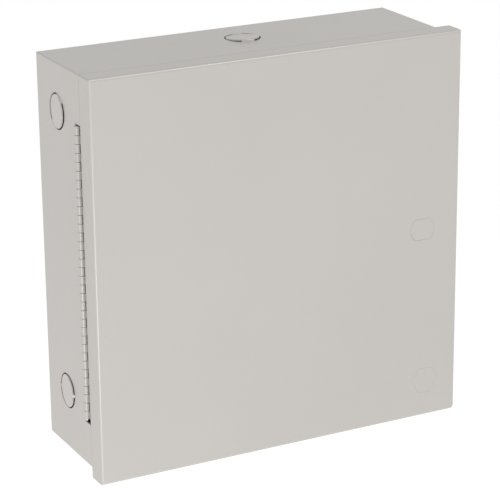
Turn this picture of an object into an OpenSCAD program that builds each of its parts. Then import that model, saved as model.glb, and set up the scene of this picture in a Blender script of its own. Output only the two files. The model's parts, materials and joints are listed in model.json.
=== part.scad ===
// Surface-mounted residential load center: sheet-steel enclosure with a full-face
// door on a continuous hinge, a dead front, and a two-column breaker interior.
// Millimetres. +Z is up, the door faces -Y, and the wall is the plane Y = 0.
// The origin is the centre of the four mounting holes, on the wall plane.

/* [Enclosure] */
// Outside width of the enclosure body
body_w = 298; // [294:1:320]
// Outside height of the enclosure body
body_h = 305; // [303:1:330]
// Distance from the wall to the front of the closed door
total_d = 98; // [97:0.5:104]
// Thickness of the painted sheet steel
sheet = 1.2; // [1.0:0.05:1.3]
// Outer radius of the bends around the back
back_bend = 2.4; // [1.6:0.1:4]
// Width of the return flange around the front opening
lip = 14; // [13:1:16]

/* [Door] */
// How far the door runs past the body on the right
over_right = 13; // [6:1:16]
// How far the door runs past the body at the bottom
over_bottom = 8.5; // [4:0.5:12]
// Depth of the door's side flanges
flange_d = 17; // [16.5:0.5:18]
// Outer radius of the bends around the door's front
door_bend = 2.2; // [1.6:0.1:3]
// Corner radius of the door seen from the front
door_corner = 3; // [1:0.5:5]
// Gap between the door's flanges and the body
seam = 0.2; // [0.2:0.1:0.6]
// Across the corners of the plain embossed hexagon
emboss_d = 26; // [20:1:30]

/* [Continuous hinge] */
// Number of knuckles
knuckles = 34; // [24:2:34]
// Length of one knuckle with its gap
knuckle_pitch = 6.7; // [6:0.1:6.8]
// Height of the topmost knuckle's upper end above the middle of the body
hinge_top = 113.5; // [105:0.5:120]
// Diameter of the hinge pin
pin_d = 2.3; // [2:0.1:2.3]
// Thickness of the hinge leaves
leaf_t = 1.1; // [1.0:0.05:1.1]

/* [Knockouts] */
// Diameter of a conduit knockout hole
ko_d = 27.8; // [22:0.1:35]
// Width of the ring between a slug and its hole
ko_gap = 1; // [0.4:0.1:1.2]
// How far a slug stands out of its wall
ko_proud = 1.65; // [1.2:0.05:1.8]
// Height of the upper side knockout above the middle of the body
ko_up = 115.5; // [100:0.5:120]
// Height of the lower side knockout below the middle of the body
ko_down = 105; // [95:0.5:115]

/* [Breakers] */
// Height of one breaker space
space = 25.4; // [25.4:0.1:26]
// Length of a branch breaker
branch_l = 76; // [74:1:78]
// Swing of a branch handle to each side of its middle
branch_swing = 16; // [10:1:18]
// Swing of the main handle to each side of its middle
main_swing = 16; // [10:1:18]

/* [Mounting] */
// Distance between the mounting holes across the back
mount_x = 228.6; // [200:0.1:240]
// Distance between the mounting holes up the back
mount_z = 254; // [220:0.5:260]
// Diameter of a mounting hole
mount_d = 7.1; // [5:0.1:9]

/* [Hidden] */
$fn = 64;
eps = 0.01;

paint = [0.79, 0.77, 0.745];
zinc = [0.72, 0.73, 0.75];
copper = [0.78, 0.47, 0.30];
tin = [0.80, 0.81, 0.82];
black = [0.09, 0.09, 0.10];

// Outer faces of the body and of the door
left = -body_w / 2;
right = body_w / 2;
top = body_h / 2;
bottom = -body_h / 2;
door_right = right + over_right;
door_bottom = bottom - over_bottom;
door_front = -total_d;
door_back = door_front + flange_d;
body_front = door_back + seam;
door_inside = door_front + sheet;

// Circuit directory stuck inside the door
card_x0 = -75;
card_x1 = 45;
card_z0 = -70;
card_z1 = 75;
card_t = 0.25;

// Hinge: the axis lies in the outer plane of the left wall
pin_r = pin_d / 2;
bore_r = pin_r + 0.05;
barrel_r = pin_r + leaf_t + 0.05;
hinge_clear = 3.8;
hinge_y = door_back + hinge_clear + barrel_r;
free = 0.3;
slot_relief = 1;
leaf_out = left + sheet;
leaf_in = leaf_out + leaf_t;
hinge_end = hinge_top - knuckles * knuckle_pitch;
slot_over = 3.4;
slot_end = hinge_end - slot_over;
pin_over = 1.4;
body_reach = 20;
door_reach = hinge_y - door_inside - (door_bend - sheet) - 0.4;

// Knockouts and lock knockout
ko_r = ko_d / 2;
ko_y = -38;
ko_top_x = 4;
tab_w = 2.6;
wide_tab_w = 10;
ko_spread = 60;
upper_turn = -60;
top_turn = -9;
lock_x = door_right - 32.7;
lock_z = bottom + 149.4;
lock_r = 10.65;
lock_flat = 8.65;
lock_gap = 0.1;
lock_tab_w = 2.4;
lock_recess = 0.1;
emboss_x = door_right - 29;
emboss_z = door_bottom + 29.7;
emboss_h = 0.35;
emboss_w = 2.2;

// Interior: the moulded base, the bus bars and the breakers
rows = 4;
base_back = -5;
base_front = -9;
base_x = 88;
base_top = 104;
base_low = -104;
boss_x = 78;
boss_in = 6;
boss_r = 6;
screw_r = 2.2;
head_r = 4;
rib_x0 = 24;
rib_x1 = 28;
seat_x = 30;
seat_z0 = 60;
seat_z1 = 96;
bus_t = 3;
bus_w = 15;
bus_x = 4;
bus_mid = bus_x + bus_w / 2;
bus_low = -101;
bus_high = 30;
bus_front = base_front - bus_t;
bolt_r = 2.5;
bolt_z = [-97, 22];
stab_t = 2.4;
stab_x = 11;
stab_l = 15;
stab_foot = 3;
row_top = 8;
branch_base = -19;
branch_w = space - 0.4;
shoulder = 47;
nose_v = 64.5;
nose_u0 = 14;
nose_u1 = 58;
pivot_u = 36;
pivot_v = 48.5;
drum_r = 14.4;
drum_w = 10;
lever_t = 6;
lever_w = 9;
lever_l = 25;
stub_r = 2;
stub_l = 8;
run = 0.06;
foot_u = 71;
clamp_u0 = 63;
clamp_u1 = 74;
clamp_v0 = 22;
clamp_v1 = 33;
clamp_half = 6;
clamp_mid = (clamp_u0 + clamp_u1) / 2;
clamp_screw_r = 2.4;
jaw_l = 17;
jaw_t = 0.8;
tie_l = 17.5;
tie_w = 5;

// Main breaker
main_x = 38;
main_z0 = 14;
main_z1 = 100;
main_nose_x = 30;
main_nose_z0 = 32;
main_nose_z1 = 82;
main_pivot_z = 57;
main_drum_r = 14.8;
main_drum_w = 26;
main_lever_w = 22;
main_lever_t = 8;
main_axle_l = 4.6;
lug_x = 19;
lug_half = 8;
lug_front = -52;
lug_back = -34;
lug_z0 = 84;
lug_z1 = 98;
lug_mid_z = (lug_z0 + lug_z1) / 2;
lug_mid_y = (lug_front + lug_back) / 2;
lug_screw_r = 4.5;
hex_key_r = 2.8;
shoulder_y = branch_base - shoulder;
nose_y = branch_base - nose_v;
main_pivot_y = nose_y + 16.5;

// Dead front
dead_x = right - 9.5;
dead_z = top - 5.5;
dead_back = body_front;
dead_front_y = body_front - sheet;
dead_screw_x = 118;
dead_screw_z = top - 9.7;
dead_screw_r = 1.6;
window = 0.5;

// Neutral and ground bars
bar_x = 112;
bar_half = 6;
neutral_back = -21;
neutral_front = -33;
neutral_low = -75;
neutral_high = 35;
tongue = 3;
tongue_top = 62;
ground_back = -4.2;
ground_front = -15;
ground_low = -75;
ground_high = 15;
bar_pitch = 9;
bar_wire_r = 2.4;
bar_screw_r = 1.8;
block_half = 9;
block_h = 8;
claw = 2;
bar_tail = 14;
tail_mid = bar_tail / 2;
neutral_lug_z0 = 39;
neutral_lug_z1 = 59;
neutral_lug_mid = (neutral_lug_z0 + neutral_lug_z1) / 2;
neutral_lug_d = 18;
neutral_wire_in = 8;
strap_t = 1.5;
strap_half = 5;
strap_low = neutral_low - bar_tail;
peg_r = 3;
fixing_r = 2;
fixing_tab = 12;
standoff_z = [neutral_low + 16, neutral_high - 14];
ground_fixing_z = [ground_low - fixing_tab / 2, ground_high + fixing_tab / 2];
bond_z = strap_low - 8;

// Mounting rail and door catch
rail_u = 78;
rail_lip_u = 72;
rail_t = 1.5;
rail_v = 4;
rail_screw_x = 84;
rail_screw_z = [-60, -26];
rail_screw_r = 1.6;
catch_x0 = right - 8;
catch_x1 = right - 0.5;
catch_z0 = 52;
catch_z1 = 88;
catch_x = (catch_x0 + catch_x1) / 2;
catch_gap = 0.3;
catch_wall = 1.5;
catch_end = 8;
magnet_d = 7;
catch_face = door_inside + catch_gap;
catch_seat = catch_face + 9;
catch_screw_r = 1.3;
catch_screw_z = [catch_z0 + catch_end / 2, catch_z1 - catch_end / 2];

// ---------- shared shapes ----------

module block(x0, x1, y0, y1, z0, z1) {
    translate([x0, y0, z0])
        cube([x1 - x0, y1 - y0, z1 - z0]);
}

module rod_x(x0, x1, y, z, r) {
    translate([x0, y, z])
        rotate([0, 90, 0])
            cylinder(h = x1 - x0, r = r);
}

module rod_y(x, y0, y1, z, r) {
    translate([x, y1, z])
        rotate([90, 0, 0])
            cylinder(h = y1 - y0, r = r);
}

module rod_z(x, y, z0, z1, r) {
    translate([x, y, z0])
        cylinder(h = z1 - z0, r = r);
}

// Rectangle with its own radius at each corner, counter-clockwise from the low one
module rounded_rect(x0, x1, y0, y1, r) {
    centers = [[x0 + r[0], y0 + r[0]], [x1 - r[1], y0 + r[1]],
        [x1 - r[2], y1 - r[2]], [x0 + r[3], y1 - r[3]]];
    polygon([[x0 + r[0], y0], [x1 - r[1], y0], [x1, y0 + r[1]], [x1, y1 - r[2]],
        [x1 - r[2], y1], [x0 + r[3], y1], [x0, y1 - r[3]], [x0, y0 + r[0]]]);
    for (i = [0:3])
        if (r[i] > 0)
            translate(centers[i])
                circle(r = r[i]);
}

// Box with bends of one radius around its front and of another around its back,
// and with four corner radii seen from the front
module pressed_box(x0, x1, y0, y1, z0, z1, front_r, back_r, corner_r) {
    intersection() {
        translate([0, 0, z0])
            linear_extrude(z1 - z0)
                rounded_rect(x0, x1, y0, y1, [front_r, front_r, back_r, back_r]);
        translate([x0, 0, 0])
            rotate([90, 0, 90])
                linear_extrude(x1 - x0)
                    rounded_rect(y0, y1, z0, z1, [front_r, back_r, back_r, front_r]);
        translate([0, y1, 0])
            rotate([90, 0, 0])
                linear_extrude(y1 - y0)
                    rounded_rect(x0, x1, z0, z1, corner_r);
    }
}

// Pan-head screw with a cross recess, its head towards -Y and seated at y
module pan_screw(x, y, z, length, shank_r, cap_r, cap_h) {
    difference() {
        union() {
            rod_y(x, y - cap_h, y, z, cap_r);
            rod_y(x, y - eps, y + length, z, shank_r);
        }
        block(x - cap_r * 0.6, x + cap_r * 0.6, y - cap_h - eps, y - cap_h * 0.4,
            z - 0.4, z + 0.4);
        block(x - 0.4, x + 0.4, y - cap_h - eps, y - cap_h * 0.4,
            z - cap_r * 0.6, z + cap_r * 0.6);
    }
}

// ---------- enclosure ----------

// Places a child made for the left wall, its axis along X, on both side walls
module on_sides(z, turn) {
    translate([left, ko_y, z])
        rotate([turn, 0, 0])
            children();
    translate([right, ko_y, z])
        mirror([1, 0, 0])
            rotate([turn, 0, 0])
                children();
}

module on_top() {
    translate([ko_top_x, ko_y, top])
        rotate([0, 90, 0])
            rotate([top_turn, 0, 0])
                children();
}

module on_bottom() {
    for (x = [-ko_spread, ko_spread])
        translate([x, ko_y, bottom])
            rotate([0, -90, 0])
                children();
}

module enclosure() {
    inner = [for (i = [0:3]) 0];
    color(paint)
        difference() {
            pressed_box(left, right, body_front, 0, bottom, top, 0, back_bend,
                [sheet, sheet, sheet, sheet]);
            pressed_box(left + sheet, right - sheet, body_front + sheet, -sheet,
                bottom + sheet, top - sheet, 0, back_bend - sheet, inner);
            block(left + lip, right - lip, body_front - 1, body_front + sheet + 1,
                bottom + lip, top - lip);
            block(left - 1, leaf_in + free, body_front - 1, hinge_y + barrel_r + free,
                slot_end, hinge_top + slot_relief);
            for (z = [ko_up, -ko_down])
                on_sides(z, 0)
                    rod_x(-1, sheet + 1, 0, 0, ko_r);
            on_top()
                rod_x(-1, sheet + 1, 0, 0, ko_r);
            on_bottom()
                rod_x(-1, sheet + 1, 0, 0, ko_r);
            for (x = [-mount_x / 2, mount_x / 2], z = [-mount_z / 2, mount_z / 2])
                rod_y(x, -sheet - 1, 1, z, mount_d / 2);
            for (x = [-dead_screw_x, dead_screw_x], z = [-dead_screw_z, dead_screw_z])
                rod_y(x, body_front - 1, body_front + sheet + 1, z, dead_screw_r);
            for (z = catch_screw_z)
                rod_y(catch_x, body_front - 1, body_front + sheet + 1, z, catch_screw_r);
            at_base_bosses()
                rod_y(0, -sheet - 1, 1, 0, screw_r);
            for (z = standoff_z)
                rod_y(-bar_x, -sheet - 1, 1, z, peg_r);
            for (z = ground_fixing_z)
                rod_y(bar_x, -sheet - 1, 1, z, fixing_r);
            rod_y(-bar_x, -sheet - 1, 1, bond_z, fixing_r);
        }
}

// A slug is a disc lanced out of its wall and held by two tabs
module slug(tab) {
    rod_x(-ko_proud, sheet - ko_proud, 0, 0, ko_r - ko_gap);
    intersection() {
        rod_x(sheet / 2 - ko_proud, sheet * 0.7, 0, 0, ko_r);
        difference() {
            block(-2, sheet, -ko_r - 1, ko_r + 1, -tab / 2, tab / 2);
            rod_x(-3, sheet + 1, 0, 0, ko_r - ko_gap - 1);
        }
    }
}

module knockout_slugs() {
    color(paint) {
        on_sides(ko_up, upper_turn)
            slug(wide_tab_w);
        on_sides(-ko_down, 0)
            slug(tab_w);
        on_top()
            slug(wide_tab_w);
        on_bottom()
            slug(tab_w);
    }
}

// ---------- hinge ----------

// One leaf: way is 1 for the leaf that runs back and -1 for the one that runs forward
module hinge_leaf(first, way, reach) {
    clear = barrel_r + free;
    difference() {
        union() {
            for (i = [first:2:knuckles - 1]) {
                z1 = hinge_top - i * knuckle_pitch - free / 2;
                z0 = z1 - knuckle_pitch + free;
                rod_z(left, hinge_y, z0, z1, barrel_r);
                block(leaf_out, leaf_in, hinge_y + min(0, way * clear),
                    hinge_y + max(0, way * clear), z0, z1);
            }
            block(leaf_out, leaf_in, hinge_y + min(way * clear, way * reach),
                hinge_y + max(way * clear, way * reach), hinge_end, hinge_top);
        }
        rod_z(left, hinge_y, hinge_end - 1, hinge_top + 1, bore_r);
    }
}

module hinge_body_leaf() {
    color(paint)
        hinge_leaf(0, 1, body_reach);
}

module hinge_door_leaf() {
    color(paint)
        hinge_leaf(1, -1, door_reach);
}

module hinge_pin() {
    color(zinc)
        rod_z(left, hinge_y, hinge_end - pin_over, hinge_top, pin_r);
}

// ---------- door ----------

module lock_outline(r, flat) {
    intersection() {
        circle(r = r);
        square([2 * r + 2, 2 * flat], center = true);
    }
}

module lock_shape(y0, y1, r, flat) {
    translate([lock_x, y1, lock_z])
        rotate([90, 0, 0])
            linear_extrude(y1 - y0)
                lock_outline(r, flat);
}

module door() {
    outer = [door_corner, door_corner, door_corner / 2, door_corner / 3];
    inner = [for (r = outer) max(r - sheet, 0)];
    color(paint) {
        difference() {
            pressed_box(left, door_right, door_front, door_back, door_bottom, top,
                door_bend, 0, [outer[3], outer[1], outer[2], outer[3]]);
            pressed_box(left + sheet, door_right - sheet, door_inside, door_back + 5,
                door_bottom + sheet, top - sheet, door_bend - sheet, 0,
                [inner[3], inner[1], inner[2], inner[3]]);
            lock_shape(door_front - 1, door_inside + 1, lock_r, lock_flat);
        }
        difference() {
            rod_hex(door_front - emboss_h, door_front + eps, emboss_d / 2);
            rod_hex(door_front - 1, door_front + 1, emboss_d / 2 - emboss_w);
        }
    }
}

module rod_hex(y0, y1, r) {
    translate([emboss_x, y1, emboss_z])
        rotate([90, 0, 0])
            cylinder(h = y1 - y0, r = r, $fn = 6);
}

module lock_knockout_slug() {
    color(paint) {
        lock_shape(door_front + lock_recess, door_inside + lock_recess, lock_r - lock_gap,
            lock_flat - lock_gap);
        intersection() {
            lock_shape(door_front + lock_recess, door_inside, lock_r, lock_flat);
            block(lock_x - lock_r - 1, lock_x, door_front, door_inside + 1,
                lock_z - lock_tab_w / 2, lock_z + lock_tab_w / 2);
        }
    }
}

module circuit_directory() {
    color("white")
        block(card_x0, card_x1, door_inside, door_inside + card_t, card_z0, card_z1);
}

// ---------- door catch ----------

// Pocket of the housing that the magnet fills
module catch_pocket(y0) {
    block(catch_x0 + catch_wall, catch_x1 - catch_wall, y0, catch_face + magnet_d,
        catch_z0 + catch_end, catch_z1 - catch_end);
}

module catch_housing() {
    color(black)
        difference() {
            block(catch_x0, catch_x1, catch_face + 0.4, body_front, catch_z0, catch_z1);
            catch_pocket(catch_face - 1);
            for (z = catch_screw_z) {
                rod_y(catch_x, catch_face - 1, catch_seat, z, 2.6);
                rod_y(catch_x, catch_face, body_front + 1, z, catch_screw_r);
            }
        }
}

module catch_magnet() {
    color([0.25, 0.25, 0.27])
        catch_pocket(catch_face);
}

module catch_screws() {
    color(zinc)
        for (z = catch_screw_z)
            pan_screw(catch_x, catch_seat, z, body_front + sheet + 1 - catch_seat,
                catch_screw_r, 2.3, 1.8);
}

// ---------- dead front ----------

module dead_front() {
    color(paint)
        difference() {
            block(-dead_x, dead_x, dead_front_y, dead_back, -dead_z, dead_z);
            for (side = [-1, 1])
                block(min(side * (nose_u0 - window), side * (nose_u1 + window)),
                    max(side * (nose_u0 - window), side * (nose_u1 + window)),
                    dead_front_y - 1, dead_back + 1,
                    row_top - rows * space - 0.1, row_top + 0.1);
            block(-main_nose_x - window, main_nose_x + window, dead_front_y - 1,
                dead_back + 1, main_nose_z0 - window, main_nose_z1 + window);
            for (x = [-dead_screw_x, dead_screw_x], z = [-dead_screw_z, dead_screw_z])
                rod_y(x, dead_front_y - 1, dead_back + 1, z, dead_screw_r);
        }
}

module dead_front_screws() {
    color(zinc)
        for (x = [-dead_screw_x, dead_screw_x], z = [-dead_screw_z, dead_screw_z])
            pan_screw(x, dead_front_y, z, 8, dead_screw_r, 4.2, 2.4);
}

// Snap-in plate that closes the window of the space with no breaker
module space_filler() {
    z0 = row_top - rows * space;
    z1 = z0 + space;
    color(black) {
        block(nose_u0 - 2.5, nose_u1 + 2.5, dead_front_y - 1.4, dead_front_y, z0 - 2,
            z1 - 0.1);
        for (u = [nose_u0 - window, nose_u1 + window - 1.4])
            block(u, u + 1.4, dead_front_y, dead_back + 6, z0 + 2, z1 - 2);
        for (u = [nose_u0 - window - 1, nose_u1 + window])
            block(u, u + 1, dead_back, dead_back + 1.5, z0 + 6, z1 - 6);
    }
}

// ---------- interior base, rails and bus bars ----------

module at_base_bosses() {
    for (x = [-boss_x, boss_x], z = [base_low + boss_in, base_top - boss_in])
        translate([x, 0, z])
            children();
}

module interior_base() {
    color([0.16, 0.16, 0.17])
        difference() {
            union() {
                block(-base_x, base_x, base_front, base_back, base_low, base_top);
                at_base_bosses()
                    rod_y(0, base_back, -sheet, 0, boss_r);
                for (side = [-1, 1])
                    block(min(side * rib_x0, side * rib_x1),
                        max(side * rib_x0, side * rib_x1), branch_base, base_front,
                        row_top - rows * space, row_top);
                block(-seat_x, seat_x, bus_front, base_front, seat_z0, seat_z1);
            }
            at_base_bosses()
                rod_y(0, base_front - 1, 0, 0, screw_r);
            for (side = [-1, 1], z = bolt_z)
                rod_y(side * bus_mid, base_front - 1, base_back + 1, z, bolt_r);
            for (side = [-1, 1], z = rail_screw_z)
                rod_y(side * rail_screw_x, base_front - 1, base_back + 1, z, rail_screw_r);
        }
}

module interior_screws() {
    color(zinc)
        at_base_bosses()
            pan_screw(0, base_front, 0, -base_front - 0.1, screw_r, head_r, 2.6);
}

// Steel rail whose inward lip holds the feet of one column of breakers
module mounting_rail() {
    lip_y = branch_base - rail_v;
    z0 = row_top - rows * space;
    difference() {
        union() {
            block(rail_u, rail_u + rail_t, lip_y - rail_t, base_front, z0, row_top);
            block(rail_lip_u, rail_u + rail_t, lip_y - rail_t, lip_y, z0, row_top);
            block(rail_u, base_x, base_front - rail_t, base_front, z0, row_top);
        }
        for (z = rail_screw_z)
            rod_y(rail_screw_x, base_front - rail_t - 1, base_front + 1, z, rail_screw_r);
    }
}

module mounting_rail_left() {
    color(zinc)
        mirror([1, 0, 0])
            mounting_rail();
}

module mounting_rail_right() {
    color(zinc)
        mounting_rail();
}

module rail_screws() {
    color(zinc)
        for (x = [-rail_screw_x, rail_screw_x], z = rail_screw_z)
            pan_screw(x, base_front - rail_t, z, 5, rail_screw_r, 3, 2);
}

function row_z(i) = row_top - (i + 0.5) * space;

// One line bus with the stabs of every second row
module bus_bar(first) {
    difference() {
        union() {
            block(bus_x, bus_x + bus_w, bus_front, base_front, bus_low, bus_high);
            for (i = [first:2:rows - 1]) {
                block(-stab_x, stab_x, branch_base - stab_l, bus_front - stab_foot,
                    row_z(i) - stab_t / 2, row_z(i) + stab_t / 2);
                block(bus_x, stab_x, bus_front - stab_foot - eps, bus_front + eps,
                    row_z(i) - stab_t / 2, row_z(i) + stab_t / 2);
            }
        }
        for (z = bolt_z)
            rod_y(bus_mid, bus_front - 1, base_front + 1, z, bolt_r);
    }
}

module bus_bar_a() {
    color(copper)
        mirror([1, 0, 0])
            bus_bar(0);
}

module bus_bar_b() {
    color(copper)
        bus_bar(1);
}

module bus_bolts() {
    color(zinc)
        for (side = [-1, 1], z = bolt_z) {
            x = side * bus_mid;
            translate([x, bus_front, z])
                rotate([90, 0, 0])
                    cylinder(h = 3.4, r = 4.6, $fn = 6);
            rod_y(x, bus_front - eps, base_back, z, bolt_r);
        }
}

// ---------- main breaker ----------

// Tapered lever with a round tip, standing along +Y from its pivot, w wide in Z
module lever(t, w) {
    tip_r = t * 0.36;
    translate([0, 0, -w / 2])
        linear_extrude(w) {
            polygon([[-t / 2, 8], [t / 2, 8], [tip_r, lever_l - tip_r],
                [-tip_r, lever_l - tip_r]]);
            translate([0, lever_l - tip_r])
                circle(r = tip_r);
        }
}

module main_case() {
    slot = main_lever_t / 2 + 6.5;
    color(black)
        difference() {
            union() {
                block(-main_x, main_x, shoulder_y, bus_front, main_z0, main_z1);
                block(-main_nose_x, main_nose_x, nose_y, shoulder_y + eps, main_nose_z0,
                    main_nose_z1);
            }
            rod_x(-main_drum_w / 2 - 0.4, main_drum_w / 2 + 0.4, main_pivot_y,
                main_pivot_z, main_drum_r + 0.4);
            block(-main_drum_w / 2 - 0.4, main_drum_w / 2 + 0.4, nose_y - 1,
                main_pivot_y, main_pivot_z - slot, main_pivot_z + slot);
            rod_x(-main_drum_w / 2 - main_axle_l - 0.4, main_drum_w / 2 + main_axle_l + 0.4,
                main_pivot_y, main_pivot_z, stub_r + run);
            for (side = [-1, 1]) {
                block(side * lug_x - lug_half - 2, side * lug_x + lug_half + 2,
                    shoulder_y - 1, lug_back, main_nose_z1 + 1, main_z1 + 1);
                block(side * bus_mid - 7, side * bus_mid + 7, bus_front - 12,
                    bus_front + 1, main_z0 - 1, bus_high - 2);
            }
            block(-0.6, 0.6, shoulder_y - 1, shoulder_y + 12, main_nose_z1 + 1,
                main_z1 + 1);
        }
}

module main_handle() {
    color(black)
        translate([0, main_pivot_y, main_pivot_z])
            rotate([-main_swing, 0, 0]) {
                rod_x(-main_drum_w / 2, main_drum_w / 2, 0, 0, main_drum_r);
                rod_x(-main_drum_w / 2 - main_axle_l, main_drum_w / 2 + main_axle_l, 0, 0,
                    stub_r);
                rotate([180, -90, 0])
                    lever(main_lever_t, main_lever_w);
            }
}

module main_line_lugs() {
    color(tin)
        for (x = [-lug_x, lug_x])
            difference() {
                block(x - lug_half, x + lug_half, lug_front, lug_back, lug_z0, lug_z1);
                rod_z(x, lug_mid_y, lug_z0 - 1, lug_z1 + 1, 5.5);
                rod_y(x, lug_front - 1, lug_mid_y, lug_mid_z, lug_screw_r);
            }
}

module main_lug_screws() {
    color(tin)
        for (x = [-lug_x, lug_x])
            difference() {
                rod_y(x, lug_front - 4, lug_front + 6, lug_mid_z, lug_screw_r);
                translate([x, lug_front, lug_mid_z])
                    rotate([90, 0, 0])
                        cylinder(h = 5, r = hex_key_r, $fn = 6);
            }
}

// ---------- branch breakers ----------

// Turns a child drawn with x outward, y up from the seat and z along the column
// into a breaker on side 1 (right) or -1 (left) centred on height z
module at_space(side, z) {
    translate([0, branch_base, z])
        mirror([side < 0 ? 1 : 0, 0, 0])
            mirror([0, 1, 0])
                children();
}

// Case of one breaker with the given number of poles, its first pole uppermost
module breaker_case(side, row, poles) {
    slot = lever_t / 2 + 6.5;
    half = branch_w / 2;
    low = -half - (poles - 1) * space;
    color(black)
        at_space(side, row_z(row))
            difference() {
                union() {
                    block(1, branch_l, 0, shoulder, low, half);
                    block(nose_u0, nose_u1, shoulder - eps, nose_v, low, half);
                }
                block(foot_u, branch_l + 1, rail_v, rail_v + 3.5, low - 1, half + 1);
                for (i = [0:poles - 1])
                    translate([0, 0, -i * space]) {
                        rod_z(pivot_u, pivot_v, -drum_w / 2 - 0.4, drum_w / 2 + 0.4,
                            drum_r + 0.4);
                        block(pivot_u - slot, pivot_u + slot, pivot_v, nose_v + 1,
                            -drum_w / 2 - 0.4, drum_w / 2 + 0.4);
                        rod_z(pivot_u, pivot_v, -stub_l - 0.4, stub_l + 0.4,
                            stub_r + run);
                        block(0, stab_x + 1.5, -1, jaw_l, -2.6, 2.6);
                        block(clamp_u0 - 1, branch_l + 1, clamp_v0, shoulder + 1,
                            -clamp_half - 2, clamp_half + 2);
                    }
            }
}

// Handle of one breaker; the levers of several poles are tied by a bar
module breaker_handle(side, row, poles) {
    color(black)
        at_space(side, row_z(row))
            translate([pivot_u, pivot_v, 0])
                rotate([0, 0, branch_swing]) {
                    for (i = [0:poles - 1])
                        translate([0, 0, -i * space]) {
                            rod_z(0, 0, -drum_w / 2, drum_w / 2, drum_r);
                            rod_z(0, 0, -stub_l, stub_l, stub_r);
                            lever(lever_t, lever_w);
                        }
                    if (poles > 1)
                        block(-lever_t / 2 + 1, lever_t / 2 - 1, tie_l, tie_l + tie_w,
                            -(poles - 1) * space, 0);
                }
}

module breaker_1_case() {
    breaker_case(-1, 0, 1);
}

module breaker_1_handle() {
    breaker_handle(-1, 0, 1);
}

module breaker_3_case() {
    breaker_case(-1, 1, 1);
}

module breaker_3_handle() {
    breaker_handle(-1, 1, 1);
}

module breaker_5_case() {
    breaker_case(-1, 2, 1);
}

module breaker_5_handle() {
    breaker_handle(-1, 2, 1);
}

module breaker_7_case() {
    breaker_case(-1, 3, 1);
}

module breaker_7_handle() {
    breaker_handle(-1, 3, 1);
}

module breaker_2_4_case() {
    breaker_case(1, 0, 2);
}

module breaker_2_4_handle() {
    breaker_handle(1, 0, 2);
}

module breaker_6_case() {
    breaker_case(1, 2, 1);
}

module breaker_6_handle() {
    breaker_handle(1, 2, 1);
}

// Calls its child once in every pole that is fitted
module at_poles() {
    for (side = [-1, 1], i = [0:rows - 1])
        if (side < 0 || i < rows - 1)
            at_space(side, row_z(i))
                children();
}

module branch_line_jaws() {
    color(tin)
        at_poles()
            for (s = [-1, 1])
                translate([0, 0, s * (stab_t / 2 + jaw_t / 2)])
                    block(2, 10, 3, jaw_l, -jaw_t / 2, jaw_t / 2);
}

module branch_clamps() {
    color(tin)
        at_poles()
            difference() {
                block(clamp_u0, clamp_u1, clamp_v0, clamp_v1, -clamp_half, clamp_half);
                rod_x(clamp_u0 - 1, clamp_u1 + 1, clamp_v0 + 4.5, 0, 3);
                rod_y(clamp_mid, clamp_v0 + 5, clamp_v1 + 1, 0, clamp_screw_r);
            }
}

module branch_clamp_screws() {
    color(zinc)
        at_poles()
            mirror([0, 1, 0])
                pan_screw(clamp_mid, -clamp_v1 - 3, 0, 8, clamp_screw_r, 4.4, 3);
}

// ---------- neutral and ground ----------

function bar_screw_z(low, i) = low + 6 + i * bar_pitch;

module terminal_bar(x, y0, y1, z0, z1) {
    count = floor((z1 - z0 - 6) / bar_pitch);
    difference() {
        block(x - bar_half, x + bar_half, y0, y1, z0, z1);
        for (i = [0:count - 1]) {
            rod_x(x - bar_half - 1, x + bar_half + 1, (y0 + y1) / 2 + 1,
                bar_screw_z(z0, i), bar_wire_r);
            rod_y(x, y0 - 1, (y0 + y1) / 2, bar_screw_z(z0, i), bar_screw_r);
        }
    }
}

module terminal_screws(x, y0, z0, z1) {
    count = floor((z1 - z0 - 6) / bar_pitch);
    for (i = [0:count - 1])
        pan_screw(x, y0 - 2, bar_screw_z(z0, i), 6, bar_screw_r, 3.2, 2.2);
}

module neutral_bar() {
    color(tin) {
        terminal_bar(-bar_x, neutral_front, neutral_back, neutral_low, neutral_high);
        difference() {
            block(-bar_x - bar_half, -bar_x + bar_half, neutral_back - tongue,
                neutral_back, neutral_high - eps, tongue_top);
            rod_y(-bar_x, neutral_back - tongue - 1, neutral_back + 1, neutral_lug_mid,
                bolt_r);
        }
        difference() {
            block(-bar_x - bar_half, -bar_x + bar_half, neutral_back - tongue,
                neutral_back, neutral_low - bar_tail, neutral_low + eps);
            rod_y(-bar_x, neutral_back - tongue - 1, neutral_back + 1,
                neutral_low - tail_mid, fixing_r);
        }
    }
}

// Moulded blocks that peg into the back and grip the bar between two claws
module neutral_standoffs() {
    color([0.16, 0.16, 0.17])
        for (z = standoff_z) {
            block(-bar_x - block_half, -bar_x + block_half, neutral_back, -sheet,
                z - block_h, z + block_h);
            rod_y(-bar_x, -sheet - eps, 0, z, peg_r);
            for (x = [-bar_x - block_half, -bar_x + bar_half])
                block(x, x + block_half - bar_half, neutral_back - claw,
                    neutral_back + eps, z - block_h, z + block_h);
        }
}

module neutral_screws() {
    color(zinc)
        terminal_screws(-bar_x, neutral_front, neutral_low, neutral_high);
}

module neutral_lug() {
    face = neutral_back - tongue;
    color(tin) {
        difference() {
            block(-bar_x - 7, -bar_x + 7, face - neutral_lug_d, face, neutral_lug_z0,
                neutral_lug_z1);
            rod_z(-bar_x, face - neutral_wire_in, neutral_lug_z0 - 1, neutral_lug_z1 + 1,
                5.2);
            rod_y(-bar_x, face - neutral_lug_d - 1, face - neutral_wire_in,
                neutral_lug_mid, lug_screw_r);
        }
        rod_y(-bar_x, face - eps, neutral_back, neutral_lug_mid, bolt_r);
    }
}

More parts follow.
